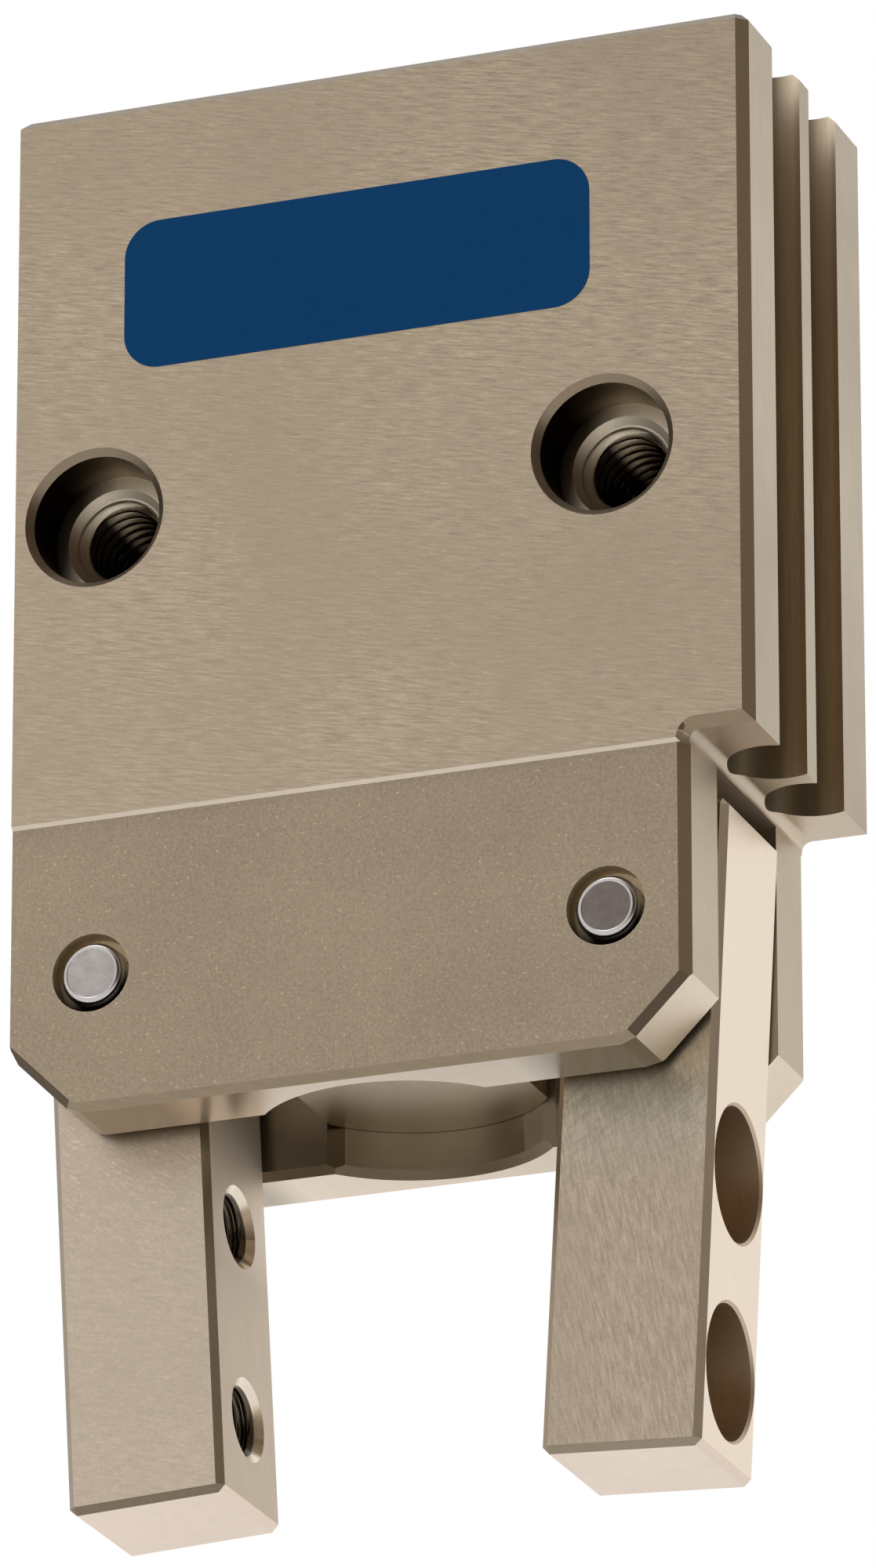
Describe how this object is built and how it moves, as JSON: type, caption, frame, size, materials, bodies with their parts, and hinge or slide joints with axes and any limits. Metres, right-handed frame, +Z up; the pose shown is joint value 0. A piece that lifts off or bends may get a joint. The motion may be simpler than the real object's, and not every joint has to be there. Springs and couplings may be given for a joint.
{
  "type": "angular gripper",
  "caption": "Pneumatic angular gripper: flat rectangular body with a grooved sensor strip on one side and square fingers that swing on pivot pins, driven by a piston and crosshead.",
  "frame": {"origin": "on the back mounting face, midway between the mounting holes", "axes": "+X across the body towards the sensor strip, +Y out of the back mounting face, +Z up, away from the fingers"},
  "size_m": [0.0332, 0.015, 0.0613],
  "materials": {
    "body_metal": "hard anodised, brushed above and blasted below",
    "jaw_metal": "hard anodised, milled",
    "pin_steel": "ground and turned ends",
    "crosshead_steel": "turned and milled",
    "piston_metal": "turned",
    "rod_chrome": "ground and chromed",
    "screw_steel": "blackened",
    "seal_rubber": "matt",
    "bush_bronze": "sintered",
    "magnet_plastic": "plastic-bonded magnet"
  },
  "bodies": {
    "body": {"housing": "body_metal", "end_cap": "piston_metal", "end_cap_ring": "seal_rubber", "retaining_ring": "screw_steel", "upper_bumper": "seal_rubber", "lower_bumper": "seal_rubber", "rod_bush": "bush_bronze", "rod_seal": "seal_rubber", "left_pivot_pin": "pin_steel", "right_pivot_pin": "pin_steel"},
    "piston": {"piston_head": "piston_metal", "piston_cap": "piston_metal", "piston_screw": "screw_steel", "piston_seal": "seal_rubber", "piston_magnet": "magnet_plastic", "piston_rod": "rod_chrome", "crosshead": "crosshead_steel", "left_drive_pin": "pin_steel", "right_drive_pin": "pin_steel"},
    "left_finger": {"left_jaw": "jaw_metal", "left_pivot_bush": "bush_bronze"},
    "right_finger": {"right_jaw": "jaw_metal", "right_pivot_bush": "bush_bronze"}
  },
  "joints": [
    {"name": "piston_travel", "type": "slide", "parent": "body", "child": "piston", "axis": [0, 0, -1], "range_m": [0, 0.00247]},
    {"name": "left_jaw_swing", "type": "hinge", "parent": "body", "child": "left_finger", "pos_m": [-0.0114, -0.0075, -0.0204], "axis": [0, 1, 0], "range_deg": [0, 18]},
    {"name": "right_jaw_swing", "type": "hinge", "parent": "body", "child": "right_finger", "pos_m": [0.0114, -0.0075, -0.0204], "axis": [0, -1, 0], "range_deg": [0, 18]}
  ],
  "couplings": [
    {"joint": "left_jaw_swing", "follows": "piston_travel", "rad_per_m": 127.31},
    {"joint": "right_jaw_swing", "follows": "piston_travel", "rad_per_m": 127.31}
  ]
}
